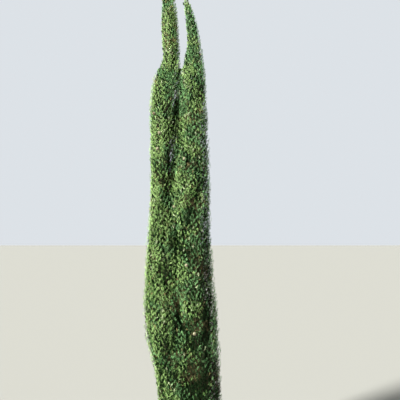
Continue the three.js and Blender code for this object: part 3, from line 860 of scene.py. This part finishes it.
def scale_leaf_group():
    """Scale leaves on a shoot: pale leaf tips, dark gaps, and fine flecks of lighter and darker green,
    partly random and partly painted light and shade on the shoots' lit and shaded sides.
    """
    outputs = {"Color": "Color", "Roughness": "Float", "Normal": "Vector"}
    group = new_group("scale_leaves", "ShaderNodeTree", {"Green": "Color", "Leaf Scale": "Float"}, outputs)
    nodes, links = group.nodes, group.links
    given = nodes.new("NodeGroupInput")
    result = nodes.new("NodeGroupOutput")
    place = nodes.new("ShaderNodeTexCoord")
    leaves = nodes.new("ShaderNodeTexVoronoi")
    links.new(place.outputs["Object"], leaves.inputs["Vector"])
    links.new(given.outputs["Leaf Scale"], leaves.inputs["Scale"])
    # Fine flecks of lighter and darker green, partly random tone and partly painted light and shade on the
    # shoots
    drift = nodes.new("ShaderNodeTexNoise")
    drift.inputs["Scale"].default_value = 110
    drift.inputs["Detail"].default_value = 3
    drift.inputs["Roughness"].default_value = 0.65
    links.new(place.outputs["Object"], drift.inputs["Vector"])
    tone = nodes.new("ShaderNodeMapRange")
    tone.inputs["From Min"].default_value = 0.3
    tone.inputs["From Max"].default_value = 0.7
    tone.inputs["To Min"].default_value = 0.35
    tone.inputs["To Max"].default_value = 1.7
    links.new(drift.outputs["Fac"], tone.inputs["Value"])
    gap = nodes.new("ShaderNodeMapRange")
    gap.inputs["From Min"].default_value = 0.1
    gap.inputs["From Max"].default_value = 0.7
    gap.inputs["To Min"].default_value = 1.15
    gap.inputs["To Max"].default_value = 0.72
    links.new(leaves.outputs["Distance"], gap.inputs["Value"])
    both = nodes.new("ShaderNodeMath")
    both.operation = "MULTIPLY"
    links.new(tone.outputs["Result"], both.inputs[0])
    links.new(gap.outputs["Result"], both.inputs[1])
    color = nodes.new("ShaderNodeMix")
    color.data_type = "RGBA"
    color.blend_type = "MULTIPLY"
    color.inputs["Factor"].default_value = 1
    links.new(given.outputs["Green"], color.inputs[6])
    links.new(both.outputs["Value"], color.inputs[7])
    links.new(color.outputs[2], result.inputs["Color"])
    rough = nodes.new("ShaderNodeMapRange")
    rough.inputs["To Min"].default_value = 0.5
    rough.inputs["To Max"].default_value = 0.72
    links.new(leaves.outputs["Distance"], rough.inputs["Value"])
    links.new(rough.outputs["Result"], result.inputs["Roughness"])
    bump = nodes.new("ShaderNodeBump")
    bump.invert = True
    bump.inputs["Strength"].default_value = 0.5
    bump.inputs["Distance"].default_value = 0.0006
    links.new(leaves.outputs["Distance"], bump.inputs["Height"])
    links.new(bump.outputs["Normal"], result.inputs["Normal"])
    return group


def green_material(name, color, group):
    """One green of the scale leaves, dull and opaque."""
    material = bpy.data.materials.new(name)
    material.use_nodes = True
    nodes, links = material.node_tree.nodes, material.node_tree.links
    shader = nodes["Principled BSDF"]
    leaves = nodes.new("ShaderNodeGroup")
    leaves.node_tree = group
    leaves.inputs["Green"].default_value = color
    leaves.inputs["Leaf Scale"].default_value = LEAF_GRAIN
    links.new(leaves.outputs["Color"], shader.inputs["Base Color"])
    links.new(leaves.outputs["Roughness"], shader.inputs["Roughness"])
    links.new(leaves.outputs["Normal"], shader.inputs["Normal"])
    shader.inputs["Specular IOR Level"].default_value = 0.12
    return material


def side_sprays():
    """Rounds of sprays up each twig's upper half: their roots, aims and shares of the way along the twig."""
    for j in range(SIDE_SPRAYS):
        t = mix(SIDE_FIRST, SIDE_LAST, (j + draw.uniform(0, SIDE_SCATTER, tuft_count)) / SIDE_SPRAYS)
        heading = twig_heading(t)
        around = (j * GOLDEN_ANGLE + SIDE_TURN * np.arange(tuft_count))[:, None]
        across = unit(np.cross(heading, outward + SIDE_NUDGE))
        out = np.cos(around) * across + np.sin(around) * np.cross(heading, across)
        spread = SIDE_LEAN * draw.uniform(*SIDE_LEAN_RANGE, tuft_count)[:, None]
        yield on_twig(t), unit(np.cos(spread) * heading + np.sin(spread) * out + SIDE_LIFT * UP), t


spray_sets = [(twig_end, aim, draw.uniform(*END_SIZES, tuft_count), np.full(tuft_count, END_LIGHT))]
for root, heading, t in side_sprays():
    spray_sets.append((root, heading, draw.uniform(*SIDE_SIZES, tuft_count), SIDE_LIGHT * t))
roots, aims, sizes, lightness = (np.concatenate(parts) for parts in zip(*spray_sets))
tuft_of = np.tile(np.arange(tuft_count), len(spray_sets))
outwards = outward[tuft_of]


def old_sprays(spire, other):
    """Old sprays behind the green outside, dark partly with age and partly as painted shade: their roots,
    aims, outward directions and sizes.
    """
    crown = spire.crown
    heights = [crown[0, 0] + OLD_RISE]
    while heights[-1] < crown[-1, 0] - OLD_TOP:
        spread = math.pi * along(crown, heights[-1], 3) * along(crown, heights[-1], 4)
        heights.append(heights[-1] + OLD_SPRAY_SPACE / spread)
    heights = np.array(heights)
    count = np.arange(len(heights))
    fill = mix(OLD_FILL_LEAST, OLD_FILL_MOST, np.sqrt(count * GOLDEN_SHARE % 1))
    tips = crown_place(crown, heights, count * GOLDEN_ANGLE, fill)
    inside = (fill < OLD_DEPTH) | (crown_share(other.crown, tips) < OLD_NEAR_OTHER)
    tips, heights, count = tips[inside], heights[inside], count[inside]
    owners = clearances(tips).argmin(1)
    wanted = (heights - OLD_RISE - plume_low[owners]) / (plume_high[owners] - plume_low[owners])
    s = np.clip(wanted, STEM_FIRST, STEM_LAST)
    roots = np.array([at_share(plumes[o].points, np.array(share)) for o, share in zip(owners, s)])
    length = np.linalg.norm(tips - roots, axis=1)
    outwards = level_towards(count * GOLDEN_ANGLE)
    return roots, (tips - roots) / length[:, None], outwards, length / SPRAY_LENGTH


tips = roots + aims * (SPRAY_LENGTH * sizes)[:, None]
near = clearances(tips)
own_clearance = near[np.arange(len(tips)), owner[tuft_of]]
stays = own_clearance <= near.min(1) + CELL_SLACK + FACING_SLACK * facing[tuft_of]
spray_spire = spire_of[tuft_of]
nearest = np.minimum(crown_share(LEFT_CROWN, tips), crown_share(RIGHT_CROWN, tips))
stays &= nearest < OUTLINE_LIMIT + (FACING_FILL - 1) * facing[tuft_of]
stays |= lightness == END_LIGHT
old = [old_sprays(*SPIRES), old_sprays(*reversed(SPIRES))]
old_count = sum(len(o[3]) for o in old)
roots = np.concatenate([roots[stays]] + [o[0] for o in old])
aims = np.concatenate([aims[stays]] + [o[1] for o in old])
outwards = np.concatenate([outwards[stays]] + [o[2] for o in old])
sizes = np.concatenate([sizes[stays]] + [o[3] for o in old])
lightness = np.concatenate([lightness[stays], np.full(old_count, OLD_SHADE_LIGHT)])
nearest = np.concatenate([nearest[stays], np.full(old_count, OLD_NEAREST)])
crests = np.concatenate([crest[tuft_of[stays]], np.zeros(old_count)])
spray_spire = np.concatenate([spray_spire[stays], np.repeat([0, 1], [len(o[3]) for o in old])])
tips = roots + aims * (SPRAY_LENGTH * sizes)[:, None]
fronts = outwards + SPRAY_TURN * draw.uniform(-1, 1, outwards.shape)


def patches(shift, size=PATCH_SIZE):
    """A slow change over the crown, near -1 in some patches and near 1 in others."""
    places = [Vector(place / size) + Vector((0, 0, shift)) for place in tips]
    return np.array([PATCH_GAIN * noise.noise(place) for place in places])


# Where a spray lies in the crown, and the patch that it belongs to, decide its green, so its place paints
# light or shade into it
old_ones = lightness == OLD_SHADE_LIGHT
depth = np.clip(nearest, *DEPTHS)
light = lightness + LIGHT_OUTWARDS * (depth - EVEN_DEPTH) + LIGHT_ON_CREST * (crests - EVEN_CREST)
light += (PATCH_LIGHT * patches(LIGHT_SHIFT)
          + STREAK_LIGHT * patches(STREAK_SHIFT, STREAK_SIZE)
          + LIGHT_UPWARDS * (tips[:, 2] - EVEN_HEIGHT)
          - LIGHT_LEFTWARDS * outwards[:, 0]
          + ridge_light_and_hollow_shade(tips, outwards))
light += np.where(old_ones, 0, TOP_LIGHT) * ease(tips[:, 2], *TOP_HEIGHTS)
light += draw.normal(0, LIGHT_SPREAD, len(tips))
warmth = ((WARM_LEFT_OF - tips[:, 0]) / WARM_WIDTH
          + WARM_PATCHES * patches(WARM_SHIFT)
          + draw.normal(0, WARM_SPREAD, len(tips)))
worn = np.clip(patches(WORN_SHIFT), 0, 1)
dry = (light < DRY_BELOW) & (draw.uniform(size=len(tips)) < worn - DRY_WORN_FROM)
pale = (light > PALE_ABOVE) & (draw.uniform(size=len(tips)) < PALE_SHARE)
upper_left = ease(tips[:, 2], *TAN_LEFT_HEIGHTS) * (spray_spire == 0)
tan_share = TAN_SHARE + TAN_WORN_SHARE * worn + TAN_LEFT_SHARE * upper_left
tan = (light > TAN_ABOVE) & (draw.uniform(size=len(tips)) < tan_share)
mid_green = np.where(warmth > 0, "mid_warm", "mid_cool")
fresh_green = np.where(warmth > 0, "fresh_warm", "fresh_cool")
tint = np.select([dry, pale, tan, light < DEEP_SHADE_BELOW, light < MID_BELOW],
                 ["dry", "pale", "tan", "deep", mid_green], fresh_green)

# Sprays in the shade and old ones have fewer and broader shoots
shaded = ~old_ones & ((tint == "deep") | ((tint == "dry") & (light < DEEP_SHADE_BELOW)))
ages = [
    ("", ~old_ones & ~shaded, spray_kinds("spray_kinds", 0, SHOOTS, SHOOT_WIDTH)),
    ("shaded_", shaded, spray_kinds("shaded_spray_kinds", SPRAY_KINDS, OLD_SHOOTS, SHADED_SHOOT_WIDTH)),
    ("old_", old_ones,
     spray_kinds("old_spray_kinds", 2 * SPRAY_KINDS, OLD_SHOOTS, OLD_SHOOT_WIDTH, OLD_SHOOT_LEAN)),
]
SCALE_LEAVES = scale_leaf_group()
SPRAYS_ON_TWIGS = spray_tree()
greens = {name: green_material(name, color, SCALE_LEAVES) for name, color in TINTS.items()}


def spray_places(mask):
    """The chosen sprays' roots as points that carry their aim, front and size."""
    mesh = bpy.data.meshes.new("spray_places")
    mesh.from_pydata(roots[mask], [], [])
    for name, values in (("aim", aims), ("front", fronts)):
        attribute = mesh.attributes.new(name, "FLOAT_VECTOR", "POINT")
        attribute.data.foreach_set("vector", values[mask].astype(np.float32).ravel())
    size = mesh.attributes.new("size", "FLOAT", "POINT")
    size.data.foreach_set("value", sizes[mask].astype(np.float32))
    return mesh


for number, spire in enumerate(SPIRES):
    masses = [p.name for p in plumes if p.spire is spire]
    for name, green in greens.items():
        for age, aged, kinds in ages:
            mask = (spray_spire == number) & (tint == name) & aged
            if not mask.any():
                continue
            piece = grown(f"{spire.name}_{age}{name}_sprays", spray_places(mask), SPRAYS_ON_TWIGS,
                          spray_kinds=kinds, seed=SPRAY_SEED, green=green)
            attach(piece, "root")
            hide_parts(*masses)


# Seed cones. Round woody cones as wide as a thumb, of a dozen shield-shaped scales round a short stalk. They
# are dry and pale, and each one sits outside the foliage on the twig that is nearest to its place.
CONE_RADIUS = 10.5 * MM
CONE_TURN = 0.35
CONE_SHARE = 0.85
CONE_LIFT = 0.6
# Each cone's x and height, and the side that it is on: -1 in front, 1 behind
CONES = MM * np.array([
    [-226, 2374, -1], [-180, 2230, -1], [-185, 2145, -1], [-18, 2061, -1], [-68, 1758, -1], [3, 1404, -1],
    [60, 976, -1], [-190, 2560, 1], [90, 2240, 1], [-215, 1820, 1], [120, 1500, 1], [-90, 1180, 1],
])
CONE_SCALES = 11
CONE_LONG = 1.12
CONE_GROOVE = 0.14
CONE_GROOVE_REACH = 0.16
CONE_BOSS = 0.1
CONE_BOSS_REACH = 0.02
CONE_STAND_OFF = 1.3
STALK_RADIUS = 1.6 * MM
STALK_FLARE = 1.5
STALK_SHIFT = 0.4
STALK_SIDES = 8
CONE_TAN = (0.2, 0.185, 0.12, 1)
CONE_PALE = (0.4, 0.39, 0.3, 1)
CONE_DARK = (0.09, 0.055, 0.03, 1)
CONE_GRAIN = 160


def cone_scales(turn):
    """The directions in which the scales of one cone face."""
    height = 1 - 2 * (np.arange(CONE_SCALES) + 0.5) / CONE_SCALES
    around = turn + np.arange(CONE_SCALES) * GOLDEN_ANGLE
    level = np.sqrt(1 - height ** 2)
    return np.stack([level * np.cos(around), level * np.sin(around), height], axis=-1)


def add_cone(bm, root, heading, turn):
    """A cone on its stalk, which starts at root and points along heading."""
    ball = bmesh.ops.create_icosphere(bm, subdivisions=4, radius=1)["verts"]
    directions = np.array([v.co for v in ball])
    facing = np.sort(directions @ cone_scales(turn).T, axis=1)
    groove = 1 - ease((facing[:, -1] - facing[:, -2]) / CONE_GROOVE_REACH)
    boss = np.exp(-(1 - facing[:, -1]) / CONE_BOSS_REACH)
    reach = CONE_RADIUS * (1 - CONE_GROOVE * groove + CONE_BOSS * boss)
    places = directions * reach[:, None] * (1, 1, CONE_LONG)
    turned = Vector((0, 0, 1)).rotation_difference(heading)
    centre = root + heading * CONE_RADIUS * CONE_STAND_OFF
    for vertex, place in zip(ball, places):
        vertex.co = centre + turned @ Vector(place)
    stalk = bmesh.ops.create_cone(bm, cap_ends=True, segments=STALK_SIDES, radius1=STALK_RADIUS,
                                  radius2=STALK_RADIUS * STALK_FLARE, depth=CONE_RADIUS)["verts"]
    for vertex in stalk:
        vertex.co = root + turned @ (vertex.co + Vector((0, 0, CONE_RADIUS * STALK_SHIFT)))


cone_bm = bmesh.new()
for number, (x, height, side) in enumerate(CONES):
    on_side = outward[:, 1] * math.copysign(1, side) > CONE_TURN
    seats = on_twig(np.full(tuft_count, CONE_SHARE)) + CONE_RADIUS * outward
    farness = np.where(on_side, np.hypot(seats[:, 0] - x, seats[:, 2] - height), np.inf)
    nearest_twig = farness.argmin()
    root = on_twig(CONE_SHARE, nearest_twig)
    add_cone(cone_bm, Vector(root), Vector(outward[nearest_twig] + CONE_LIFT * UP).normalized(), number)
cone_mesh = bpy.data.meshes.new("seed_cones")
cone_bm.to_mesh(cone_mesh)
cone_bm.free()
cone_mesh.shade_smooth()
cones = bpy.data.objects.new("seed_cones", cone_mesh)
bpy.context.scene.collection.objects.link(cones)
cones.data.materials.append(bark_material("cone_scales", CONE_TAN, CONE_PALE, CONE_DARK, CONE_GRAIN))
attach(cones, "root")
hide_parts(*[p.name for p in plumes])


# Floor, light and camera. The floor and the backdrop are plain and pale. A sun from the left and front, a
# broad weak one from behind and a faint one from the right light the tree. The camera stands at eye height.
FLOOR_REACH = 30
FLOOR_GREY = (0.25, 0.25, 0.25, 1)
SKY_COLOR = (0.86, 0.95, 0.88, 1)
SKY_STRENGTH = 0.16
BACKDROP_COLOR = (0.72, 0.76, 0.8, 1)
CAMERA_PLACE = (0.085, -2.65, 1.65)
CAMERA_TILT = math.atan(25 / 400)

corners = [(x * FLOOR_REACH, y * FLOOR_REACH, 0) for x, y in ((-1, -1), (1, -1), (1, 1), (-1, 1))]
floor_mesh = bpy.data.meshes.new("floor")
floor_mesh.from_pydata(corners, [], [(0, 1, 2, 3)])
floor = bpy.data.objects.new("floor", floor_mesh)
bpy.context.scene.collection.objects.link(floor)
floor_material = bpy.data.materials.new("pale_floor")
floor_material.use_nodes = True
floor_shader = floor_material.node_tree.nodes["Principled BSDF"]
floor_shader.inputs["Base Color"].default_value = FLOOR_GREY
floor_shader.inputs["Roughness"].default_value = 0.9
floor_shader.inputs["Specular IOR Level"].default_value = 0
floor.data.materials.append(floor_material)

world = bpy.data.worlds.new("studio")
world.use_nodes = True
world_nodes = world.node_tree.nodes
world_links = world.node_tree.links
sky = world_nodes["Background"]
sky.inputs["Color"].default_value = SKY_COLOR
sky.inputs["Strength"].default_value = SKY_STRENGTH
backdrop = world_nodes.new("ShaderNodeBackground")
backdrop.inputs["Color"].default_value = BACKDROP_COLOR
seen = world_nodes.new("ShaderNodeLightPath")
surround = world_nodes.new("ShaderNodeMixShader")
world_links.new(seen.outputs["Is Camera Ray"], surround.inputs["Fac"])
world_links.new(sky.outputs["Background"], surround.inputs[1])
world_links.new(backdrop.outputs["Background"], surround.inputs[2])
world_links.new(surround.outputs["Shader"], world_nodes["World Output"].inputs["Surface"])
bpy.context.scene.world = world


def add_sun(name, energy, spread, color, along_direction):
    """A sun as wide as its spread in degrees, which shines along the direction."""
    lamp_data = bpy.data.lights.new(name, "SUN")
    lamp_data.energy = energy
    lamp_data.angle = math.radians(spread)
    lamp_data.color = color
    lamp = bpy.data.objects.new(name, lamp_data)
    lamp.rotation_euler = Vector(along_direction).to_track_quat("-Z", "Y").to_euler()
    bpy.context.scene.collection.objects.link(lamp)


add_sun("key", 13.8, 7, (1.0, 0.99, 0.88), (0.82, 0.5, -0.6))
add_sun("fill", 3.6, 40, (1.0, 0.99, 0.93), (0.08, -1, -0.3))
add_sun("side", 1.1, 60, (0.95, 1.0, 0.9), (-0.9, 0.3, -0.35))

camera_data = bpy.data.cameras.new("camera")
camera_data.lens = 36
camera_data.sensor_width = 36
camera = bpy.data.objects.new("camera", camera_data)
camera.location = CAMERA_PLACE
camera.rotation_euler = (math.pi / 2 + CAMERA_TILT, 0, 0)
bpy.context.scene.collection.objects.link(camera)
bpy.context.scene.camera = camera
bpy.context.scene.view_settings.view_transform = "Standard"

bpy.context.view_layer.update()
